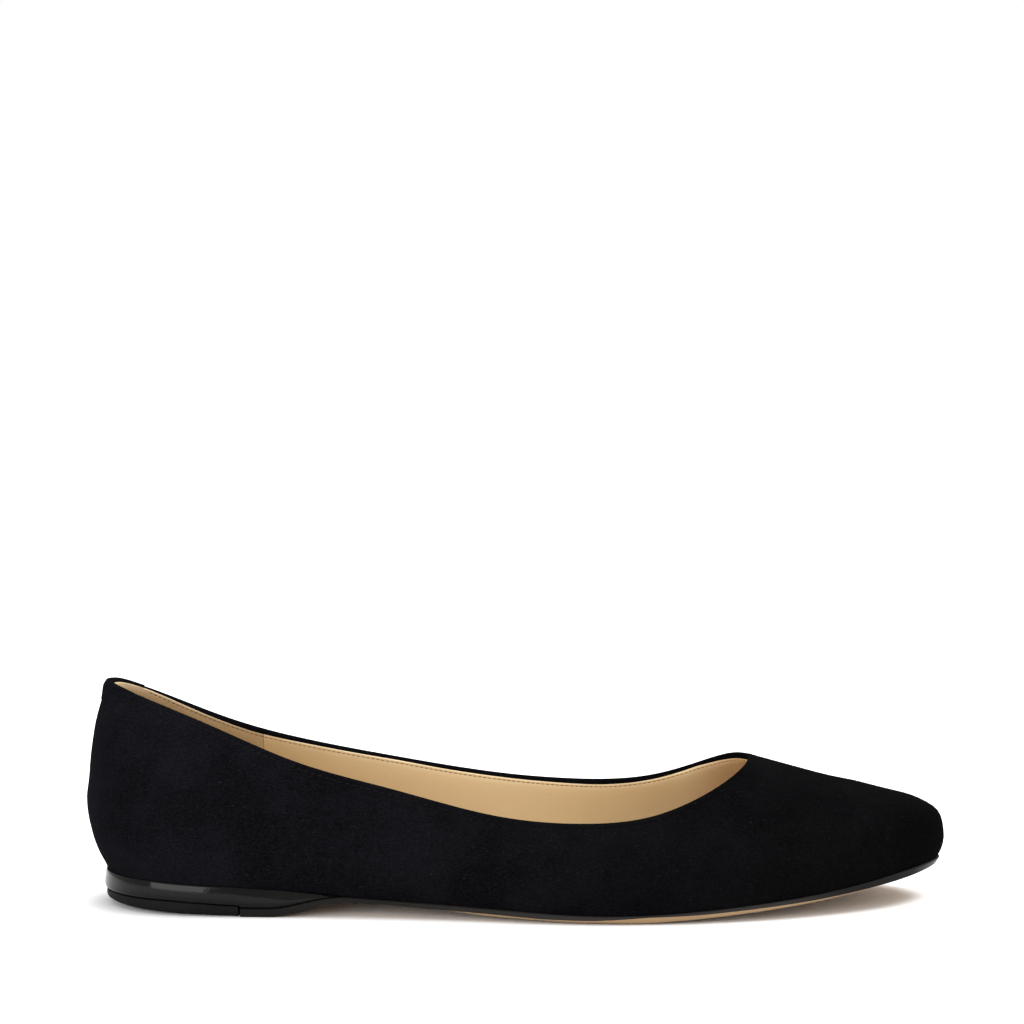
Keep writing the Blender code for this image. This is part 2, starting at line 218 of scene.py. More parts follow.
class Wall:
    """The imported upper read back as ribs, each from the outer foot over the rim to the inner foot.

    Rib 0 stands at the back of the heel, and the ribs run along the outer side to the toe and back. A face
    of the foot looks down and lies below FOOT_LIMIT, and directions are read over a NUDGE of ribs.
    """

    RIM_ROWS = 3
    FOOT_LIMIT = 16.0 * MM
    DOWNWARD = -0.85
    FINE_STEPS = 96
    NUDGE = 0.05
    SEARCH_STEPS = 20

    def __init__(self, node: bpy.types.Object) -> None:
        """Read the ribs of the upper's node."""
        self.ribs = self._read(node)
        self.count = len(self.ribs)
        self.half = self.count // 2
        self.side_rows = (self.ribs.shape[1] - self.RIM_ROWS) // 2

    def _read(self, node: bpy.types.Object) -> np.ndarray:
        """Return the wall's points by rib and by row."""
        mesh = bmesh.new()
        mesh.from_mesh(node.data)
        bmesh.ops.remove_doubles(mesh, verts=mesh.verts, dist=WELD)
        mesh.edges.index_update()
        mesh.normal_update()
        under = {
            face for face in mesh.faces
            if face.normal.z < self.DOWNWARD and face.calc_center_median().z < self.FOOT_LIMIT
        }
        border = [edge for edge in mesh.edges if sum(face in under for face in edge.link_faces) == 1]
        rows = self._rows_over(loops_of(border))
        points = [np.array([vertex.co for vertex in row]) for row in rows]
        mesh.free()
        aligned = points[:1]
        for row in points[1:]:
            aligned.append(turned(row, aligned[-1]))
        ribs = np.stack(aligned, axis=1)
        ribs = np.roll(ribs, -int(ribs[:, len(rows) // 2, 0].argmin()), axis=0)
        if ribs[1, 0, 1] > ribs[-1, 0, 1]:
            ribs = np.roll(ribs[::-1], 1, axis=0)
        return ribs

    @staticmethod
    def _rows_over(feet: list[list]) -> list[list]:
        """Return the rows of vertices from the outer foot over the rim to the inner foot."""
        inner, outer = sorted(feet, key=lambda row: max(vertex.co.y for vertex in row))
        rows = [outer]
        seen = set(outer) | set(inner)
        while True:
            near = {edge.other_vert(vertex) for vertex in rows[-1] for edge in vertex.link_edges} - seen
            if not near:
                break
            edges = {edge for vertex in near for edge in vertex.link_edges if edge.other_vert(vertex) in near}
            rows.append(loops_of(sorted(edges, key=lambda edge: edge.index))[0])
            seen |= near
        rows.append(inner)
        return rows

    def ribs_at(self, places: np.ndarray) -> np.ndarray:
        """Return whole ribs at places counted in ribs."""
        return smooth_at(self.ribs, np.asarray(places, dtype=float), True)

    def _fine(self, places: np.ndarray, side: Side) -> np.ndarray:
        """Return fine points down one face, from the top of the rim to the foot."""
        ribs = self.ribs_at(places)
        middle = ribs.shape[1] // 2
        rows = ribs[:, middle::-1] if side is Side.OUTSIDE else ribs[:, middle:]
        corner = self.RIM_ROWS // 2 + 1
        steps = np.linspace(0.0, self.side_rows - 1.0, self.FINE_STEPS)
        wall = smooth_at(rows[:, corner:].swapaxes(0, 1), steps, False).swapaxes(0, 1)
        return np.concatenate((rows[:, :corner], wall), axis=1)

    def face(self, places: np.ndarray, side: Side) -> WallFace:
        """Read one face of the wall.

        Args:
            places: Places of the ribs, counted in ribs.
            side: Which face.

        Returns:
            The face at those ribs.
        """
        places = np.asarray(places, dtype=float)
        points = self._fine(places, side)
        along = self._fine(places + self.NUDGE, side) - self._fine(places - self.NUDGE, side)
        down = np.gradient(points, axis=1)
        sign = -1.0 if side is Side.OUTSIDE else 1.0
        normals = sign * unit(np.cross(along, down))
        steps = np.linalg.norm(np.diff(points, axis=1), axis=2)
        depths = np.concatenate((np.zeros((len(points), 1)), np.cumsum(steps, axis=1)), axis=1)
        return WallFace(points, normals, depths)

    def foot(self, places: np.ndarray, out: Spread = 0.0) -> np.ndarray:
        """Return points on the outer foot line, moved level outwards by a distance."""
        places = np.asarray(places, dtype=float)
        run = self.ribs_at(places + self.NUDGE)[:, 0] - self.ribs_at(places - self.NUDGE)[:, 0]
        level = unit(np.column_stack((run[:, 1], -run[:, 0], np.zeros(len(run)))))
        return self.ribs_at(places)[:, 0] + level * np.broadcast_to(out, len(run))[:, None]

    def ring(self, places: np.ndarray, out: Spread, heights: np.ndarray) -> np.ndarray:
        """Return points on the outer foot line, moved level outwards and put at some heights."""
        line = self.foot(places, out)
        line[:, 2] = heights
        return line

    def place_along(self, distance: float, inner: bool = False) -> float:
        """Find the rib whose foot lies at a distance from the heel.

        Args:
            distance: Distance from the back of the shoe.
            inner: Whether the rib is on the inner side.

        Returns:
            The rib's place, below 0 on the inner side.
        """
        places = np.linspace(0.0, self.half, self.SEARCH_STEPS * self.half)
        signs = -places if inner else places
        found = float(np.interp(HEEL_X + distance, self.foot(signs)[:, 0], places))
        return -found if inner else found


@dataclass(frozen=True)
class Profile:
    """A size that changes along the shoe.

    Attributes:
        points: Distance from the heel and size there, in millimetres.
    """

    points: Pairs

    def at(self, spots: np.ndarray) -> np.ndarray:
        """Return the size at some spots on the shoe."""
        places, sizes = zip(*self.points)
        return np.interp((spots[:, 0] - HEEL_X) / MM, places, sizes) * MM


def loft(
    name: str, rings: np.ndarray, closed: bool = False, bands: Optional[Sequence[int]] = None,
) -> bpy.types.Object:
    """Skin rings of points into one closed mesh.

    Args:
        name: Name of the new object.
        rings: Points by ring and by place on the ring.
        closed: Whether the last ring joins the first, or both ends are capped.
        bands: Material index of each side of a ring, all 0 if left out.

    Returns:
        The new object.
    """
    around = rings.shape[1]
    grid = np.concatenate((rings, rings[:, :1]), axis=1)
    if closed:
        grid = np.concatenate((grid, grid[:1]))
    mesh = bmesh.new()
    bmesh.ops.create_grid(mesh, x_segments=around, y_segments=len(grid) - 1, size=1.0)
    for vertex, point in zip(mesh.verts, grid.reshape(-1, 3)):
        vertex.co = point
    if bands is not None:
        for number, face in enumerate(mesh.faces):
            face.material_index = bands[number % around]
    bmesh.ops.remove_doubles(mesh, verts=mesh.verts, dist=WELD)
    bmesh.ops.holes_fill(mesh, edges=[edge for edge in mesh.edges if edge.is_boundary], sides=0)
    bmesh.ops.recalc_face_normals(mesh, faces=mesh.faces)
    return new_object(name, mesh)


def new_object(name: str, mesh: bmesh.types.BMesh) -> bpy.types.Object:
    """Turn a bmesh into a smooth shaded object in the scene, and free it."""
    data = bpy.data.meshes.new(name)
    mesh.to_mesh(data)
    mesh.free()
    data.shade_smooth()
    data.set_sharp_from_angle(angle=SHARP_ANGLE)
    piece = bpy.data.objects.new(name, data)
    bpy.context.scene.collection.objects.link(piece)
    return piece


def dress(piece: bpy.types.Object, slot: Slot, materials: Sequence[Material], *nodes: str) -> None:
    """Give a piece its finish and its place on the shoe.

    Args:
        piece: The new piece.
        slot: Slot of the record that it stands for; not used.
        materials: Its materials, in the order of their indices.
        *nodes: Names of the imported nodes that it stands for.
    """
    for material in materials:
        piece.data.materials.append(material)
    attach(piece, BODY)
    if nodes:
        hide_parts(*nodes)
    LOG.info("%s: %d faces, for %s", piece.name, len(piece.data.polygons), nodes or "trim")


class Graph:
    """A node tree with short calls to add and join its nodes."""

    def __init__(self, tree: NodeTree) -> None:
        """Work on one node tree."""
        self.tree = tree

    def feed(self, node: Node, inputs: dict) -> None:
        """Give a node's inputs, by name or number, a socket to read or a value."""
        for key, value in inputs.items():
            if isinstance(value, Socket):
                self.tree.links.new(value, node.inputs[key])
            else:
                node.inputs[key].default_value = value

    def add(self, kind: str, inputs: Optional[dict] = None, **settings: object) -> Node:
        """Add a node.

        Args:
            kind: Blender's name of the node type.
            inputs: Values or sockets for its inputs, by name or number.
            **settings: Properties of the node.

        Returns:
            The new node.
        """
        node = self.tree.nodes.new(kind)
        for name, value in settings.items():
            setattr(node, name, value)
        self.feed(node, inputs or {})
        return node

    def math(self, operation: str, first: object, second: object) -> Socket:
        """Return the result of a Math node."""
        return self.add("ShaderNodeMath", {0: first, 1: second}, operation=operation).outputs[0]

    def times(self, first: Socket, second: object) -> Socket:
        """Return the product of two values."""
        return self.math("MULTIPLY", first, second)

    def blend(self, first: Socket, second: Socket, share: float) -> Socket:
        """Return a blend of two values, of which the first has a share."""
        return self.math("ADD", self.times(first, share), self.times(second, 1.0 - share))

    def ramp(self, value: Socket, low: float, high: float) -> Socket:
        """Return a value smoothly spread from 0 at low to 1 at high."""
        inputs = {"Value": value, "From Min": low, "From Max": high}
        return self.add("ShaderNodeMapRange", inputs, interpolation_type="SMOOTHSTEP").outputs["Result"]

    def mix(self, share: Socket, first: object, second: object) -> Socket:
        """Return a blend of two colours, each a socket or a plain colour."""
        first, second = (end if isinstance(end, Socket) else (*end, 1.0) for end in (first, second))
        # The node's colour sockets share their names with others, so they go by number.
        return self.add("ShaderNodeMix", {0: share, 6: first, 7: second}, data_type="RGBA").outputs[2]

    def moved(self, operation: str, inputs: dict) -> Socket:
        """Return the result of a Vector Math node."""
        return self.add("ShaderNodeVectorMath", inputs, operation=operation).outputs[0]

    def noise(self, vector: Socket, scale: object, detail: float, roughness: float) -> Socket:
        """Return the value of a noise texture."""
        inputs = {"Vector": vector, "Scale": scale, "Detail": detail, "Roughness": roughness}
        return self.add("ShaderNodeTexNoise", inputs).outputs["Fac"]


class SharedGroup(Graph):
    """A new shader node group that reads a vector and named values, and puts out named values."""

    def __init__(self, name: str, inputs: dict[str, float], outputs: Sequence[str]) -> None:
        """Start the group.

        Args:
            name: Name of the group.
            inputs: Default of each value that it reads.
            outputs: Names of the values that it puts out.
        """
        super().__init__(bpy.data.node_groups.new(name, "ShaderNodeTree"))
        sockets = self.tree.interface
        sockets.new_socket("Vector", in_out="INPUT", socket_type="NodeSocketVector")
        for socket, default in inputs.items():
            sockets.new_socket(socket, in_out="INPUT", socket_type="NodeSocketFloat").default_value = default
        for socket in outputs:
            sockets.new_socket(socket, in_out="OUTPUT", socket_type="NodeSocketFloat")
        self.given = self.add("NodeGroupInput").outputs
        self.result = self.add("NodeGroupOutput")


def nap_group() -> NodeTree:
    """Return the group for brushed nap: fine fibres that lean one way, in lighter and darker strokes."""
    name = "brushed_nap"
    if name in bpy.data.node_groups:
        return bpy.data.node_groups[name]
    defaults = {"Fibres per metre": 2400.0, "Stroke length": 20.0 * MM}
    group = SharedGroup(name, defaults, ("Height", "Fibre", "Stroke", "Fleck"))
    vector = group.given["Vector"]
    count = group.given["Fibres per metre"]
    lean = group.moved("MULTIPLY", {0: vector, 1: NAP_LEAN})
    fibres = group.noise(lean, count, detail=3.0, roughness=0.65)
    tufts = group.noise(lean, group.times(count, TUFTS_PER_FIBRE), detail=2.0, roughness=0.6)
    specks = group.noise(lean, group.times(count, SPECKS_PER_FIBRE), detail=1.0, roughness=0.5)
    stroke_scale = group.math("DIVIDE", 1.0, group.given["Stroke length"])
    strokes = group.noise(vector, stroke_scale, detail=5.0, roughness=0.6)
    patches = group.ramp(strokes, low=0.34, high=0.68)
    group.feed(group.result, {
        "Height": group.blend(fibres, tufts, share=0.65),
        "Fibre": group.ramp(fibres, low=0.3, high=0.7),
        "Stroke": group.blend(patches, tufts, share=0.6),
        "Fleck": group.ramp(specks, low=0.70, high=0.82),
    })
    return group.tree


def grain_group() -> NodeTree:
    """Return the group for leather grain: small cells with creases between them, pores and a cloudy tone."""
    name = "leather_grain"
    if name in bpy.data.node_groups:
        return bpy.data.node_groups[name]
    defaults = {"Cells per metre": 1500.0, "Cloud size": 30.0 * MM}
    group = SharedGroup(name, defaults, ("Height", "Tone", "Pore"))
    vector = group.given["Vector"]
    count = group.given["Cells per metre"]
    bends = {"Vector": vector, "Scale": group.times(count, BENDS_PER_CELL), "Detail": 1.0}
    warp = group.add("ShaderNodeTexNoise", bends).outputs["Color"]
    shift = group.moved("SCALE", {0: warp, "Scale": group.math("DIVIDE", BEND_IN_CELLS, count)})
    bent = group.moved("ADD", {0: vector, 1: shift})
    cells = group.add("ShaderNodeTexVoronoi", {"Vector": bent, "Scale": count}, feature="DISTANCE_TO_EDGE")
    pebble = group.ramp(cells.outputs["Distance"], low=0.0, high=0.28)
    fine = group.noise(vector, group.times(count, BUMPS_PER_CELL), detail=2.0, roughness=0.6)
    dots = group.noise(vector, group.times(count, PORES_PER_CELL), detail=0.0, roughness=0.5)
    cloud_scale = group.math("DIVIDE", 1.0, group.given["Cloud size"])
    clouds = group.noise(vector, cloud_scale, detail=4.0, roughness=0.55)
    group.feed(group.result, {
        "Height": group.blend(pebble, fine, share=0.7),
        "Tone": group.ramp(clouds, low=0.3, high=0.7),
        "Pore": group.ramp(dots, low=0.68, high=0.78),
    })
    return group.tree


class Surface(Graph):
    """A new material, whose patterns read the Object coordinates."""

    def __init__(self, name: str) -> None:
        """Start a material."""
        self.material = bpy.data.materials.new(name)
        self.material.use_nodes = True
        super().__init__(self.material.node_tree)
        self.place = self.add("ShaderNodeTexCoord").outputs["Object"]

    def along(self, low: float, high: float) -> Socket:
        """Return a value spread along the shoe, from 0 at one X to 1 at another."""
        return self.ramp(self.add("ShaderNodeSeparateXYZ", {0: self.place}).outputs["X"], low, high)

    def pattern(self, group: NodeTree, values: dict[str, float]) -> Node:
        """Place a shared node group with values of its own."""
        return self.add("ShaderNodeGroup", {"Vector": self.place, **values}, node_tree=group)

    def raised(self, height: Socket, strength: float, distance: float) -> Socket:
        """Return the normals of the surface where a height raises it."""
        inputs = {"Height": height, "Strength": strength, "Distance": distance}
        return self.add("ShaderNodeBump", inputs).outputs["Normal"]

    def finish(self, inputs: dict) -> Material:
        """Give the Principled shader its inputs, and return the material."""
        self.feed(self.tree.nodes["Principled BSDF"], inputs)
        return self.material


@dataclass(frozen=True)
class SuedeFinish:
    """Suede: dark between the fibres, a little lighter on their tips, and darker tips towards the toe as
    painted shade.
    """

    name: str
    deep: Colour
    tips: Colour
    shaded_toe_tips: Colour
    fleck: Colour
    painted_light_run: tuple[float, float] = (-90.0 * MM, 90.0 * MM)
    fibres_per_metre: float = 2400.0
    stroke_length: float = 22.0 * MM
    stroke_share: float = 0.5
    stroke_gloss: float = 0.12
    bump: float = 0.55
    bump_height: float = 0.25 * MM
    specular: float = 0.12
    sheen: float = 0.06
    sheen_roughness: float = 0.45

    def material(self) -> Material:
        """Build the material."""
        surface = Surface(self.name)
        values = {"Fibres per metre": self.fibres_per_metre, "Stroke length": self.stroke_length}
        nap = surface.pattern(nap_group(), values).outputs
        # Painted shade: the fibre tips darken along the shoe towards the toe.
        tips = surface.mix(surface.along(*self.painted_light_run), self.tips, self.shaded_toe_tips)
        shade = surface.blend(nap["Stroke"], nap["Fibre"], self.stroke_share)
        stroked = surface.mix(shade, self.deep, tips)
        gloss = surface.times(nap["Stroke"], self.stroke_gloss)
        return surface.finish({
            "Base Color": surface.mix(nap["Fleck"], stroked, self.fleck),
            "Roughness": surface.math("SUBTRACT", 1.0, gloss),
            "Normal": surface.raised(nap["Height"], self.bump, self.bump_height),
            "Specular IOR Level": self.specular,
            "Sheen Weight": self.sheen,
            "Sheen Roughness": self.sheen_roughness,
        })


@dataclass(frozen=True)
class LeatherFinish:
    """Smooth leather: fine grain, cloudy tone, darker pores, and a toe colour that deepens it towards the toe
    as painted shade.
    """

    name: str
    light: Colour
    dark: Colour
    # Colour of the painted shade towards the toe.
    toe: Colour
    pore: Colour
    painted_light_run: tuple[float, float] = (49.0 * MM, 69.0 * MM)
    cells_per_metre: float = 1500.0
    cloud_size: float = 30.0 * MM
    roughness: float = 0.56
    cloud_gloss: float = 0.12
    bump: float = 0.2
    bump_height: float = 0.1 * MM
    specular: float = 0.22
    pore_share: float = 0.12

    def material(self) -> Material:
        """Build the material."""
        surface = Surface(self.name)
        values = {"Cells per metre": self.cells_per_metre, "Cloud size": self.cloud_size}
        grain = surface.pattern(grain_group(), values).outputs
        clouded = surface.mix(grain["Tone"], self.dark, self.light)
        # Painted shade: the tone turns to the toe colour towards the toe.
        toned_and_shaded = surface.mix(surface.along(*self.painted_light_run), clouded, self.toe)
        pores = surface.times(grain["Pore"], self.pore_share)
        gloss = surface.times(grain["Tone"], self.cloud_gloss)
        return surface.finish({
            "Base Color": surface.mix(pores, toned_and_shaded, self.pore),
            "Roughness": surface.math("SUBTRACT", self.roughness, gloss),
            "Normal": surface.raised(grain["Height"], self.bump, self.bump_height),
            "Specular IOR Level": self.specular,
        })


@dataclass(frozen=True)
class CoatedFinish:
    """Lacquer, rubber or thread: a ground with faint clouds of haze and a fine skin.

    A share of the haze is painted light instead of clouds: it grows towards the toe, lightening the lacquered
    edge as a painted reflection and darkening the black thread as painted shade, and the tip loses a share
    again as painted shade.
    """

    name: str
    ground: Colour
    haze: Colour
    cells_per_metre: float
    roughness: float
    roughness_spread: float
    bump: float
    specular: float
    bump_height: float = 0.1 * MM
    painted_light_share: float = 0.0
    painted_light_run: tuple[float, float] = (-50.0 * MM, 30.0 * MM)
    tip_shade_share: float = 0.0
    tip_shade_run: tuple[float, float] = (75.0 * MM, 100.0 * MM)

    def material(self) -> Material:
        """Build the material."""
        surface = Surface(self.name)
        grain = surface.pattern(grain_group(), {"Cells per metre": self.cells_per_metre}).outputs
        # Painted light and shade: the haze grows along the shoe towards the toe, and the tip loses a share as
        # painted shade.
        toe = surface.along(*self.painted_light_run)
        tip = surface.times(surface.along(*self.tip_shade_run), self.tip_shade_share)
        haze_and_painted_light = surface.math("SUBTRACT", surface.blend(toe, grain["Tone"], self.painted_light_share), tip)
        dull = surface.times(grain["Tone"], self.roughness_spread)
        return surface.finish({
            "Base Color": surface.mix(haze_and_painted_light, self.ground, self.haze),
            "Roughness": surface.math("ADD", dull, self.roughness),
            "Normal": surface.raised(grain["Height"], self.bump, self.bump_height),
            "Specular IOR Level": self.specular,
        })


# Painted shade: its tips darken towards the toe.
BLACK_SUEDE = SuedeFinish(
    "black_suede_nap", deep=(0.00075, 0.00075, 0.0009), tips=(0.0061, 0.0059, 0.0078),
    shaded_toe_tips=(0.0037, 0.0035, 0.0039), fleck=(0.011, 0.011, 0.012), specular=0.0025, sheen=0.0012)
HEEL_GRIP_SUEDE = SuedeFinish(
    "tan_heel_grip", deep=(0.44, 0.322, 0.19), tips=(0.55, 0.43, 0.27), shaded_toe_tips=(0.55, 0.43, 0.27),
    fleck=(0.6, 0.5, 0.35), bump=0.4)
# Painted shade: the lining darkens towards the throat.
LINING_LEATHER = LeatherFinish(
    "tan_lining_leather", light=(0.645, 0.495, 0.30), dark=(0.625, 0.47, 0.277), toe=(0.47, 0.295, 0.153),
    pore=(0.52, 0.375, 0.212))
# Painted shade: the sock darkens towards the toe.
SOCK_LEATHER = LeatherFinish(
    "tan_sock_leather", light=(0.47, 0.365, 0.222), dark=(0.445, 0.34, 0.203), toe=(0.38, 0.26, 0.145),
    pore=(0.38, 0.28, 0.16))
SOLE_LEATHER = LeatherFinish(
    "tan_sole_leather", light=(0.32, 0.21, 0.115), dark=(0.28, 0.18, 0.093), toe=(0.295, 0.193, 0.103),
    pore=(0.23, 0.14, 0.064), cells_per_metre=2200.0, cloud_size=50.0 * MM, roughness=0.48)
# Painted reflection brightens the edge towards the toe, and painted shade darkens its tip.
EDGE_LACQUER = CoatedFinish(
    "black_edge_lacquer", ground=(0.0037, 0.0034, 0.0031), haze=(0.021, 0.019, 0.018), cells_per_metre=900.0,
    roughness=0.36, roughness_spread=0.12, bump=0.12, specular=0.075, painted_light_share=0.8, tip_shade_share=0.82)
HEEL_LACQUER = CoatedFinish(
    "black_heel_lacquer", ground=(0.0025, 0.0023, 0.0022), haze=(0.0044, 0.0041, 0.0038),
    cells_per_metre=700.0, roughness=0.07, roughness_spread=0.05, bump=0.04, specular=0.112)
LIFT_RUBBER = CoatedFinish(
    "black_lift_rubber", ground=(0.0037, 0.0037, 0.0037), haze=(0.0069, 0.0069, 0.0066),
    cells_per_metre=2600.0, roughness=0.55, roughness_spread=0.2, bump=0.35, bump_height=0.12 * MM,
    specular=0.05)
# Painted shade: the thread darkens towards the toe.
BLACK_THREAD = CoatedFinish(
    "black_thread", ground=(0.0075, 0.0075, 0.0081), haze=(0.0016, 0.0016, 0.0018), cells_per_metre=5000.0,
    roughness=0.7, roughness_spread=0.2, bump=0.4, specular=0.012,
    painted_light_share=0.85, painted_light_run=(-90.0 * MM, 50.0 * MM))
BROWN_THREAD = CoatedFinish(
    "brown_thread", ground=(0.115, 0.06, 0.03), haze=(0.175, 0.1, 0.053), cells_per_metre=5000.0,
    roughness=0.6, roughness_spread=0.2, bump=0.4, specular=0.12)


@dataclass(frozen=True)
class Crease:
    """One soft trough in the upper, placed on a side view of the shoe, in millimetres.

    Attributes:
        start: Distance from the heel and height of one end.
        end: The same for the other end.
        width: Distance over which it fades.
        depth: How deep it is, below 0 for a ridge.
    """

    start: tuple[float, float]
    end: tuple[float, float]
    width: float
    depth: float

    def sink(self, points: np.ndarray) -> np.ndarray:
        """Return how far each point sinks into the wall."""
        flat = np.column_stack((points[:, 0] - HEEL_X, points[:, 2])) / MM
        first = np.array(self.start)
        run = np.array(self.end) - first
        share = np.clip((flat - first) @ run / (run @ run), 0.0, 1.0)
        away = np.linalg.norm(flat - first - share[:, None] * run, axis=1)
        return self.depth * MM * np.exp(-((away / self.width) ** 2))


@dataclass
class SuedeUpper:
    """The suede wall with its folded, stitched collar edge.

    A collar row holds its depth and its swell, from below the edge up to the rim.
    """

    wall: Wall
    ribs_per_rib: int = 4
    lower_rows: int = 34
    fold_rise: float = 0.25 * MM
    fold_reach: float = 1.4 * MM
    collar_rows: Pairs = (
        (6.4, 0.0), (5.0, 0.0), (4.0, 0.0), (3.2, 0.02), (2.8, -0.05), (2.5, -0.12), (2.2, -0.05),
        (1.8, 0.08), (1.4, 0.07), (1.04, 0.07), (0.69, 0.02), (0.35, 0.05), (0.0, 0.0))
    inner_depths: tuple[float, ...] = (0.35, 0.69, 1.04, 1.4, 2.4)
    inner_rows: int = 12
    creases: tuple[Crease, ...] = (
        Crease((0.5, 48.0), (0.5, 39.0), 6.0, 0.95),
        Crease((2.0, 21.0), (4.0, 13.0), 6.0, 0.52),
        Crease((64.0, 16.0), (71.0, 38.0), 6.0, 0.30),
        Crease((80.0, 18.0), (86.0, 32.0), 7.0, -0.20),
        Crease((104.0, 24.0), (150.0, 16.0), 6.0, 0.25),
        Crease((172.0, 16.0), (188.0, 30.0), 5.0, 0.25),
        Crease((182.0, 13.0), (199.0, 26.0), 5.0, -0.20),
        Crease((192.0, 14.0), (207.0, 26.0), 5.0, 0.20),
        Crease((232.0, 37.0), (244.0, 34.0), 8.0, -1.35),
        Crease((253.0, 29.0), (255.0, 25.0), 3.5, 0.40),
    )

    def fold(self, depth: Spread) -> Spread:
        """Return the share of the fold at a depth, from 1 on top of the rim to 0."""
        return np.maximum(0.0, 1.0 - depth / self.fold_reach)

    def lift(self, depth: Spread) -> np.ndarray:
        """Return how far the fold lifts the rim at a depth, one for all ribs or one each."""
        return np.outer(self.fold_rise * self.fold(depth), UP)

    def sink(self, points: np.ndarray) -> np.ndarray:
        """Return how far the creases sink each point."""
        return sum(crease.sink(points) for crease in self.creases)

    def build(self, suede: Material) -> None:
        """Build the upper.

        Args:
            suede: Its material.
        """
        places = np.arange(self.wall.count * self.ribs_per_rib) / self.ribs_per_rib
        outside = self.wall.face(places, Side.OUTSIDE)
        inside = self.wall.face(places, Side.INSIDE)
        collar = self.collar_rows[0][0] * MM
        rows = []
        for share in np.linspace(1.0, 0.0, self.lower_rows, endpoint=False):
            depth = collar + share * (outside.length - collar)
            fade = math.sin(math.pi * math.sqrt(1.0 - share))
            rows.append(outside.at(depth, -fade * self.sink(outside.at(depth))))
        for depth, swell in self.collar_rows:
            rows.append(outside.at(depth * MM, swell * MM) + self.lift(depth * MM))
        for depth in self.inner_depths:
            rows.append(inside.at(depth * MM) + self.lift(depth * MM))
        for share in np.linspace(0.0, 1.0, self.inner_rows + 1)[1:]:
            rows.append(inside.at(self.inner_depths[-1] * MM * (1.0 - share) + inside.length * share))
        dress(loft("suede_upper", np.stack(rows, axis=1), closed=True), Slot.SUEDE, (suede,), "upper")


@dataclass
class BackTab:
    """The suede strip folded over the collar at the heel.

    It reaches over ribs on either side. An outer row holds its share of the drop and its fullness.
    """

    upper: SuedeUpper
    reach: float = 6.05
    outer_drop: float = 6.0 * MM
    taper: float = 0.4
    inner_drop: float = 0.5 * MM
    thickness: float = 0.4 * MM
    side_thickness: float = 0.2 * MM
    pressed_from: float = 3.0
    pressed_share: float = 0.25
    edge_share: float = 0.4
    outer_rows: Pairs = (
        (1.0, -0.05), (0.94, 0.05), (0.7, 0.3), (0.5, 0.54), (0.35, 0.72), (0.25, 0.82), (0.12, 0.88),
        (0.05, 0.7), (0.0, 0.3))
    inner_shares: tuple[float, ...] = (0.3, 0.6, 0.92, 1.0)
    steps: int = 61

    def build(self, suede: Material) -> None:
        """Build the tab.

        Args:
            suede: Its material.
        """
        places = np.linspace(-self.reach, self.reach, self.steps)
        outside = self.upper.wall.face(places, Side.OUTSIDE)
        inside = self.upper.wall.face(places, Side.INSIDE)
        from_end = 1.0 - (places / self.reach) ** 2
        drop = self.outer_drop * (1.0 - self.taper * (places / self.reach) ** 2)
        rows = [(outside, drop * share, swell * MM * from_end ** 2) for share, swell in self.outer_rows]
        rows.extend((inside, self.inner_drop * share, 0.0) for share in self.inner_shares)
        pressed = np.interp(places, (self.pressed_from, self.reach), (1.0, self.pressed_share))
        over, under = [], []
        for face, depth, swell in rows:
            edge = self.edge_share if len(over) in (0, len(rows) - 1) else 1.0
            extra = (self.thickness - self.side_thickness) * self.upper.fold(depth)
            thickness = pressed * (self.side_thickness + extra)
            lift = self.upper.lift(depth)
            over.append(face.at(depth, edge * thickness + swell) + lift)
            under.append(face.at(depth, -thickness) + lift)
        tab = loft("suede_back_tab", np.stack(over + under[::-1], axis=1))
        dress(tab, Slot.SUEDE, (suede,), "back_tab")


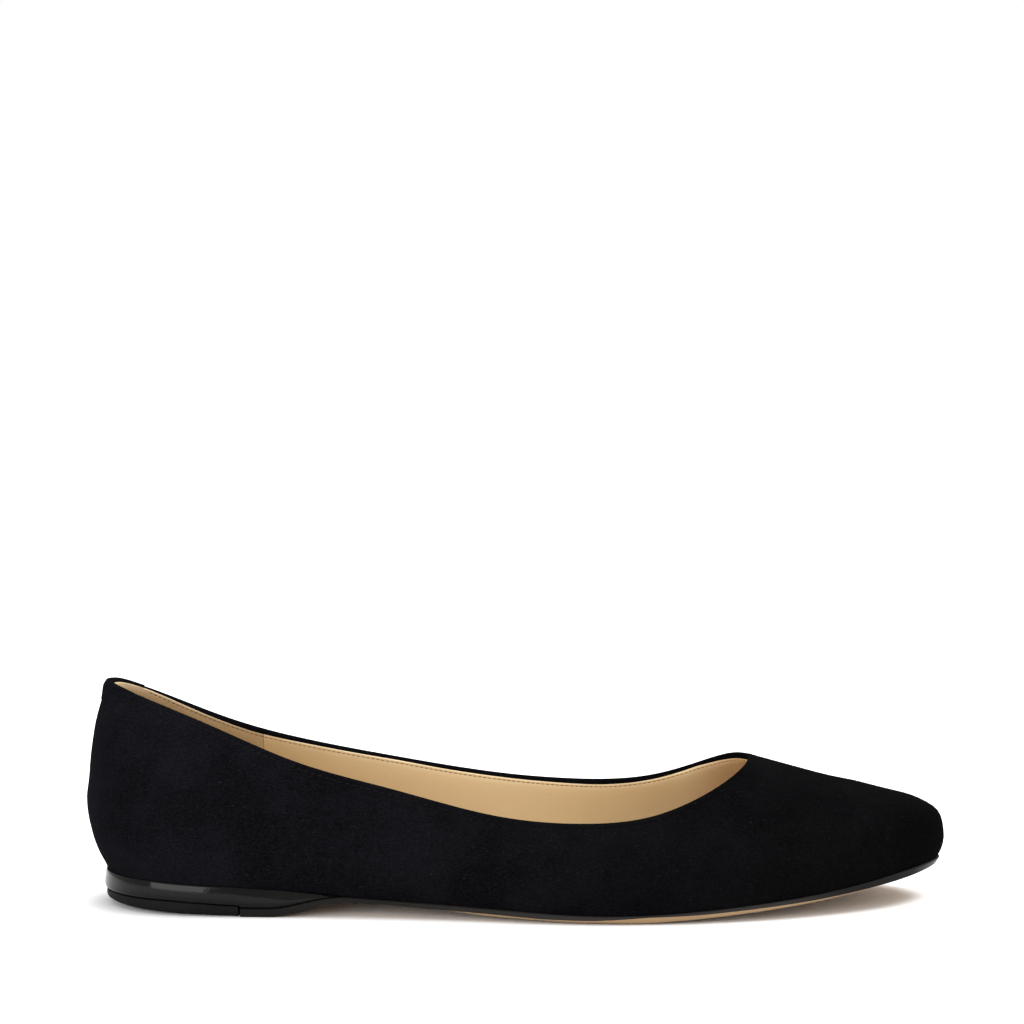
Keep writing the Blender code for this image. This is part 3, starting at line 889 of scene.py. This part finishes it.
@dataclass
class Lining:
    """The lining inside the wall: smooth leather in front and a heel grip round the back.

    The skive holds distances below the top edge, with the share of the thickness that is left there.
    """

    wall: Wall
    seam: float = 51.0 * MM
    seam_gap: float = 0.14 * MM
    tops: Profile = Profile((
        (0.0, 0.6), (9.0, 0.6), (14.0, 0.4), (18.0, 0.4), (25.0, 0.7), (33.0, 1.05), (48.0, 1.55),
        (63.0, 1.2), (93.0, 1.1), (105.0, 1.35), (123.0, 1.4), (140.0, 1.5), (153.0, 1.65), (183.0, 0.75),
        (196.0, 1.7)))
    seat: float = 0.05 * MM
    thickness: float = 0.7 * MM
    grip_thickness: float = 0.6 * MM
    skive: Pairs = (
        (0.0, 0.02), (0.15, 0.34), (0.3, 0.44), (0.55, 0.52), (0.75, 0.42), (0.95, 0.56),
        (1.5, 0.8), (2.5, 1.0))
    above_foot: float = 1.4 * MM
    step: float = 0.25
    lower_steps: int = 10

    def top(self, inside: WallFace) -> np.ndarray:
        """Return how far down from the rim the lining starts, at each rib."""
        return self.tops.at(inside.points[:, 0])

    def rings(self, start: float, end: float, thickness: float) -> np.ndarray:
        """Work out the lining's cross-sections, thinned towards the top edge.

        Args:
            start: Place of its first rib.
            end: Place of its last rib.
            thickness: Its thickness.

        Returns:
            Points by rib and by place round the cross-section.
        """
        places = np.linspace(start, end, int((end - start) / self.step) + 1)
        inside = self.wall.face(places, Side.INSIDE)
        bottom = inside.length - self.above_foot
        top = self.top(inside)
        full = top + self.skive[-1][0] * MM
        shares = np.linspace(0.0, 1.0, self.lower_steps + 1)[1:]
        lower = [full + share * (bottom - full) for share in shares]
        rows = [inside.at(depth, self.seat) for depth in lower[::-1]]
        for depth, share in self.skive:
            rows.append(inside.at(top + depth * MM, self.seat + share * thickness))
        rows.extend(inside.at(depth, self.seat + thickness) for depth in lower)
        return np.stack(rows, axis=1)

    def build(self, leather: Material, grip: Material) -> None:
        """Build both pieces.

        Args:
            leather: Material of the front piece.
            grip: Material of the heel grip.
        """
        ahead = self.seam + self.seam_gap / 2.0
        behind = self.seam - self.seam_gap / 2.0
        end = self.wall.count + self.wall.place_along(ahead, True)
        front = self.rings(self.wall.place_along(ahead), end, self.thickness)
        dress(loft("lining", front), Slot.LINING, (leather,))
        start = self.wall.place_along(behind, True)
        back = self.rings(start, self.wall.place_along(behind), self.grip_thickness)
        dress(loft("heel_grip", back), Slot.LINING, (grip,))


@dataclass
class StitchRow:
    """A row of stitches along the collar, on one face of the wall.

    Some ribs stay free of stitches on either side of the heel's back.
    """

    BEAD_SIDES = 8
    BEAD_RINGS = 6

    wall: Wall
    name: str
    side: Side
    depth: float
    out: float
    free_ribs: float
    lining: Optional[Lining] = None
    pitch: float = 2.1 * MM
    length: float = 1.5 * MM
    thread: float = 0.4 * MM
    step: float = 0.1

    def path(self) -> tuple[np.ndarray, np.ndarray]:
        """Return points along the row, a pitch apart, and the directions out of the wall there."""
        places = np.arange(self.free_ribs, self.wall.count - self.free_ribs, self.step)
        face = self.wall.face(places, self.side)
        depth = self.depth + (self.lining.top(face) if self.lining else 0.0)
        line = face.at(depth, self.out)
        outward = face.at(depth, self.out + self.thread) - line
        gone = np.concatenate(((0.0,), np.cumsum(np.linalg.norm(np.diff(line, axis=0), axis=1))))
        marks = np.linspace(0.0, gone[-1], int(gone[-1] / self.pitch))
        spots = np.column_stack([np.interp(marks, gone, line[:, axis]) for axis in range(3)])
        leans = np.column_stack([np.interp(marks, gone, outward[:, axis]) for axis in range(3)])
        return spots, unit(leans)

    def _bead(self) -> bpy.types.Mesh:
        """Return a mesh of the size of one stitch, lying along X."""
        size = Matrix.Diagonal((self.length / 2.0, self.thread / 2.0, self.thread / 2.0, 1.0))
        mesh = bmesh.new()
        bmesh.ops.create_uvsphere(
            mesh, u_segments=self.BEAD_SIDES, v_segments=self.BEAD_RINGS, radius=1.0,
            matrix=size @ Matrix.Rotation(math.pi / 2.0, 4, "Y"))
        bead = bpy.data.meshes.new("bead")
        mesh.to_mesh(bead)
        mesh.free()
        return bead

    def build(self, thread: Material) -> None:
        """Build the row as one mesh of long beads.

        Args:
            thread: Its material.
        """
        spots, leans = self.path()
        along = unit(np.diff(spots, axis=0))
        across = unit(np.cross(leans[:-1], along))
        turns = np.stack((along, across, np.cross(along, across)), axis=2)
        bead = self._bead()
        mesh = bmesh.new()
        for middle, turn in zip((spots[1:] + spots[:-1]) / 2.0, turns):
            stitch = bead.copy()
            stitch.transform(Matrix.Translation(middle) @ Matrix(turn.tolist()).to_4x4())
            mesh.from_mesh(stitch)
            bpy.data.meshes.remove(stitch)
        bpy.data.meshes.remove(bead)
        dress(new_object(self.name, mesh), Slot.SUEDE, (thread,))


@dataclass
class Sock:
    """The leather sock that covers the insole, curled up a little where it meets the lining."""

    wall: Wall
    rise: float = 2.1 * MM
    edge_in: float = 0.75 * MM
    thickness: float = 1.5 * MM
    curl: float = 0.8 * MM
    curl_power: int = 6
    across: int = 17
    stations: int = 150
    end_gap: float = 0.3

    def build(self, leather: Material) -> None:
        """Build the sock.

        Args:
            leather: Its material.
        """
        turn = np.linspace(0.0, math.pi, self.stations)
        places = self.end_gap + (self.wall.half - 2.0 * self.end_gap) * (1.0 - np.cos(turn)) / 2.0
        outer, inner = (self._edge(side * places) for side in (1.0, -1.0))
        tops = []
        for share in np.linspace(0.0, 1.0, self.across):
            lift = self.curl * (abs(2.0 * share - 1.0) ** self.curl_power - 1.0)
            tops.append(outer + (inner - outer) * share + UP * lift)
        below = [top - UP * self.thickness for top in tops[::-1]]
        sock = loft("leather_sock", np.stack(tops + below, axis=1))
        dress(sock, Slot.LINING, (leather,), "insole")

    def _edge(self, places: np.ndarray) -> np.ndarray:
        """Return the sock's edge, against the lining."""
        inside = self.wall.face(places, Side.INSIDE)
        return inside.at(inside.length - self.rise, self.edge_in)


@dataclass
class Outsole:
    """The thin leather outsole: black lacquered edge, tan bevel and tread.

    Sizes of the edge's lower corner are in round_overs.
    """

    LEATHER = 0
    LACQUER = 1
    EDGE_SIDES = 3
    QUAD = 4

    wall: Wall
    thickness: float = 2.6 * MM
    gap: float = 0.12 * MM
    proud: float = 0.5 * MM
    round_over: float = 0.3 * MM
    flap_flat: float = 56.0 * MM
    flap_meets: float = 80.0 * MM
    tread_points: int = 11
    stations: int = 220
    tip_gap: float = 0.02
    tip_slant: float = 1.0 * MM
    slant_from: float = 243.0 * MM
    slant_to: float = 256.0 * MM
    edge_limit: float = 0.96
    corner_up: float = 0.3
    corner_down: float = 0.2
    corner_in: float = 0.5
    edges: Profile = Profile((
        (48.0, 2.4), (66.0, 2.4), (80.0, 1.6), (90.0, 1.35), (105.0, 1.5), (123.0, 1.5), (134.0, 1.55),
        (150.0, 1.2), (158.0, 0.8), (165.0, 0.45), (172.0, 0.6), (180.0, 0.85), (205.0, 1.15), (225.0, 1.6),
        (240.0, 2.0)))
    bevels: Profile = Profile(((66.0, 1.2), (80.0, 6.0), (100.0, 6.0), (118.0, 1.2)))
    crowns: Profile = Profile((
        (48.0, 0.1), (105.0, 0.1), (123.0, 0.3), (137.0, 0.38), (150.0, 0.4), (165.0, 0.38), (180.0, 0.34),
        (205.0, 0.38), (256.0, 0.4)))
    crown_power: int = 4

    def top(self, line: np.ndarray) -> np.ndarray:
        """Return the height of its top at points along the upper's foot."""
        raised = ease(line[:, 0] - HEEL_X, self.flap_flat, self.flap_meets)
        return self.thickness + (line[:, 2] - self.gap - self.thickness) * raised

    def build(self, leather: Material, lacquer: Material) -> None:
        """Build the outsole.

        Args:
            leather: Material of bevel and tread.
            lacquer: Material of the edge.
        """
        start = self.wall.place_along(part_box("outsole")[0].x - HEEL_X)
        turn = np.linspace(0.0, math.pi / 2.0, self.stations)
        places = start + (self.wall.half - self.tip_gap - start) * np.sin(turn)
        outer = self._side(places)
        inner = self._side(-places)
        crown = self.crowns.at(outer[-1])
        tread = []
        for share in np.linspace(0.0, 1.0, self.tread_points):
            row = outer[-1] + (inner[-1] - outer[-1]) * share
            row[:, 2] = np.maximum(0.0, row[:, 2] + crown * ((2.0 * share - 1.0) ** self.crown_power - 1.0))
            tread.append(row)
        rows = outer[:-1] + tread + inner[-2::-1]
        tan_sides = len(rows) - 1 - 2 * self.EDGE_SIDES
        edge = [self.LACQUER] * self.EDGE_SIDES
        bands = edge + [self.LEATHER] * tan_sides + edge + [self.LACQUER]
        piece = loft("leather_outsole", np.stack(rows, axis=1), bands=bands)
        for face in piece.data.polygons:
            if len(face.vertices) > self.QUAD:
                face.material_index = self.LACQUER
        dress(piece, Slot.SOLE, (leather, lacquer), "outsole")

    def _side(self, places: np.ndarray) -> list[np.ndarray]:
        """Return the points of one side of the sections, from the top down to the tread."""
        line = self.wall.foot(places, self.proud)
        top = self.top(line)
        tread = np.maximum(0.0, top - self.thickness) + self.crowns.at(line)
        lower = top - np.minimum(self.edges.at(line), self.edge_limit * (top - tread))
        bevel = self.bevels.at(line)
        slant = self.tip_slant * ease(line[:, 0] - HEEL_X, self.slant_from, self.slant_to)
        small = self.round_over
        corners = (
            (small, top),
            (0.0, top - small),
            (slant, lower + self.corner_up * small),
            (slant + self.corner_in * small, lower - self.corner_down * small),
            (slant + bevel / 2.0, (lower + tread) / 2.0),
            (slant + bevel, tread),
        )
        return [self.wall.ring(places, self.proud - inset, height) for inset, height in corners]


@dataclass
class HeelStack:
    """The lacquered wedge of the heel and the rubber top lift under it.

    A row of the wedge holds its shares of the height and of the belly, one of the lift its shares of the
    height and of the rounding.
    """

    wall: Wall
    sole: Outsole
    proud: float = 0.5 * MM
    belly: float = 0.7 * MM
    round_over: float = 0.35 * MM
    seam: float = 0.2 * MM
    lift_round: float = 1.2 * MM
    back_round: float = 6.0 * MM
    back_end: float = 60.0 * MM
    notch: float = 0.35 * MM
    wedge_tip: float = 0.12 * MM
    wedge_run: float = 3.0 * MM
    lift_rise: float = 1.25 * MM
    rise_from: float = 22.0 * MM
    rise_to: float = 52.0 * MM
    lips: Profile = Profile(((0.0, 0.0), (8.0, 0.4), (22.0, 0.9), (45.0, 0.9), (60.0, 0.5), (78.0, 0.0)))
    lip_lean: float = 0.5
    wedge_section: Pairs = (
        (0.0, -1.0), (0.0, -0.3), (0.03, 0.4), (0.1, 0.75), (0.18, 0.93), (0.28, 1.0), (0.4, 0.91),
        (0.55, 0.76), (0.7, 0.56), (0.82, 0.36), (0.93, 0.15), (0.98, -0.05), (1.0, -0.3), (1.0, -1.0))
    lift_section: Pairs = (
        (0.0, 1.0), (0.04, 0.75), (0.15, 0.42), (0.3, 0.18), (0.45, 0.04), (0.6, 0.0), (0.95, 0.0),
        (1.0, 0.1))
    step: float = 0.2

    def _places(self, distance: float) -> np.ndarray:
        """Return places round the back of the heel, between both sides at a distance from the heel."""
        outer = self.wall.place_along(distance)
        inner = self.wall.place_along(distance, True)
        return np.linspace(inner, outer, int((outer - inner) / self.step) + 1)

    def _lift_height(self, along: np.ndarray) -> np.ndarray:
        """Return the height of the lift, thicker towards the back, at distances from the heel."""
        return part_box("top_lift")[1].z + self.lift_rise * (1.0 - ease(along, self.rise_from, self.rise_to))

    def build(self, lacquer: Material, rubber: Material) -> None:
        """Build both pieces.

        Args:
            lacquer: Material of the wedge.
            rubber: Material of the top lift.
        """
        lift_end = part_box("top_lift")[1].x - HEEL_X
        dress(loft("heel_wedge", self._wedge(lift_end)), Slot.LACQUER, (lacquer,), "heel_block")
        dress(loft("rubber_top_lift", self._lift(lift_end)), Slot.RUBBER, (rubber,), "top_lift")

    def _wedge(self, lift_end: float) -> np.ndarray:
        """Return the rings of the wedge, which lies on the lift and, in front of its end, on the outsole."""
        places = self._places(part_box("heel_block")[1].x - HEEL_X + self.wedge_run)
        line = self.wall.foot(places)
        along = line[:, 0] - HEEL_X
        floor = np.where(along < lift_end, self._lift_height(along), self.sole.top(line)) + self.seam
        lip = self.lips.at(line)
        top = np.maximum(line[:, 2] - self.sole.gap, floor + self.wedge_tip) + lip
        rings = []
        for share, bulge in self.wedge_section:
            size = self.round_over if bulge < 0.0 else self.belly
            out = self.proud + bulge * size + share * self.lip_lean * lip
            rings.append(self.wall.ring(places, out, floor + share * (top - floor)))
        return np.array(rings)

    def _lift(self, lift_end: float) -> np.ndarray:
        """Return the rings of the top lift."""
        places = self._places(lift_end - self.notch)
        along = self.wall.foot(places)[:, 0] - HEEL_X
        rounding = self.lift_round + self.back_round * (1.0 - ease(along, 0.0, self.back_end))
        height = self._lift_height(along)
        rings = [self.wall.ring(places, self.proud - inset * rounding, share * height)
                 for share, inset in self.lift_section]
        return np.array(rings)


def add_light(data: bpy.types.Light, place: Point, towards: Vector) -> None:
    """Put a light into the scene that shines in a direction."""
    light = bpy.data.objects.new(data.name, data)
    light.location = place
    light.rotation_euler = towards.to_track_quat("-Z", "Y").to_euler()
    bpy.context.scene.collection.objects.link(light)


@dataclass(frozen=True)
class SoftPanel:
    """One soft light panel."""

    name: str
    place: Point
    aim: Point
    width: float
    height: float
    watts: float

    def build(self) -> None:
        """Build the light."""
        data = bpy.data.lights.new(self.name, "AREA")
        data.shape = "RECTANGLE"
        data.size = self.width
        data.size_y = self.height
        data.energy = self.watts
        add_light(data, self.place, Vector(self.aim) - Vector(self.place))


@dataclass(frozen=True)
class SkyPanel:
    """A wide soft light far overhead that lights the whole floor evenly."""

    name: str
    towards: Point
    spread: float
    strength: float

    def build(self) -> None:
        """Build the light."""
        data = bpy.data.lights.new(self.name, "SUN")
        data.angle = math.radians(self.spread)
        data.energy = self.strength
        add_light(data, tuple(UP), Vector(self.towards))


@dataclass
class Studio:
    """Pale floor, even white surround, soft lights and the camera."""

    floor_half: float = 4.0
    floor_colour: Colour = (0.93, 0.925, 0.92)
    floor_dim: float = 0.99
    floor_roughness: float = 0.8
    floor_specular: float = 0.1
    clouds_per_metre: float = 3.0
    surround: float = 0.85
    camera_place: Point = (-0.0015, -0.8498, 0.170)
    camera_tilt: float = 86.33
    lens: float = 101.18
    sensor: float = 36.0
    lights: tuple[SoftPanel | SkyPanel, ...] = (
        SkyPanel("overhead", towards=(-0.26, -0.12, -1.0), spread=60.0, strength=4.5),
        SoftPanel(
            "heel_strip", (-0.645, -0.785, 0.21), aim=(-0.1, 0.0, 0.0), width=0.75, height=0.5, watts=7.7),
    )

    def build(self) -> None:
        """Build floor, surround, lights and camera."""
        self._floor()
        self._surround()
        for light in self.lights:
            light.build()
        self._camera()
        bpy.context.scene.view_settings.view_transform = "Standard"

    def _floor(self) -> None:
        """Lay the floor."""
        mesh = bmesh.new()
        bmesh.ops.create_grid(mesh, x_segments=1, y_segments=1, size=self.floor_half)
        floor = new_object("floor", mesh)
        surface = Surface("pale_floor")
        clouds = surface.noise(surface.place, self.clouds_per_metre, detail=3.0, roughness=0.5)
        dim = tuple(self.floor_dim * value for value in self.floor_colour)
        floor.data.materials.append(surface.finish({
            "Base Color": surface.mix(clouds, self.floor_colour, dim),
            "Roughness": self.floor_roughness,
            "Specular IOR Level": self.floor_specular,
        }))

    def _surround(self) -> None:
        """Light the scene evenly from all round, and show plain white behind the shoe."""
        world = bpy.data.worlds.new("white_surround")
        world.use_nodes = True
        graph = Graph(world.node_tree)
        seen = graph.add("ShaderNodeLightPath").outputs["Is Camera Ray"]
        graph.feed(graph.tree.nodes["Background"], {
            "Color": (1.0, 1.0, 1.0, 1.0),
            "Strength": graph.math("MAXIMUM", seen, self.surround),
        })
        bpy.context.scene.world = world

    def _camera(self) -> None:
        """Set the camera up."""
        data = bpy.data.cameras.new("camera")
        data.lens = self.lens
        data.sensor_width = self.sensor
        camera = bpy.data.objects.new("camera", data)
        camera.location = self.camera_place
        camera.rotation_euler = (math.radians(self.camera_tilt), 0.0, 0.0)
        bpy.context.scene.collection.objects.link(camera)
        bpy.context.scene.camera = camera


def main() -> None:
    """Build every piece of the shoe, then the studio round it."""
    logging.basicConfig(level=logging.INFO, format="%(name)s: %(message)s")
    wall = Wall(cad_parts["upper"])
    LOG.info("wall: %d ribs of %d points", wall.count, wall.ribs.shape[1])
    suede = BLACK_SUEDE.material()
    upper = SuedeUpper(wall)
    upper.build(suede)
    BackTab(upper).build(suede)
    lining = Lining(wall)
    lining.build(LINING_LEATHER.material(), HEEL_GRIP_SUEDE.material())
    StitchRow(
        wall, "collar_stitches", Side.OUTSIDE, depth=2.5 * MM, out=-0.05 * MM, free_ribs=7.0,
    ).build(BLACK_THREAD.material())
    StitchRow(
        wall, "lining_stitches", Side.INSIDE, depth=0.75 * MM, out=0.32 * MM, free_ribs=6.3, lining=lining,
        pitch=1.5 * MM, length=1.2 * MM, thread=0.3 * MM,
    ).build(BROWN_THREAD.material())
    Sock(wall).build(SOCK_LEATHER.material())
    sole = Outsole(wall)
    sole.build(SOLE_LEATHER.material(), EDGE_LACQUER.material())
    HeelStack(wall, sole).build(HEEL_LACQUER.material(), LIFT_RUBBER.material())
    Studio().build()


if __name__ == "__main__":
    main()
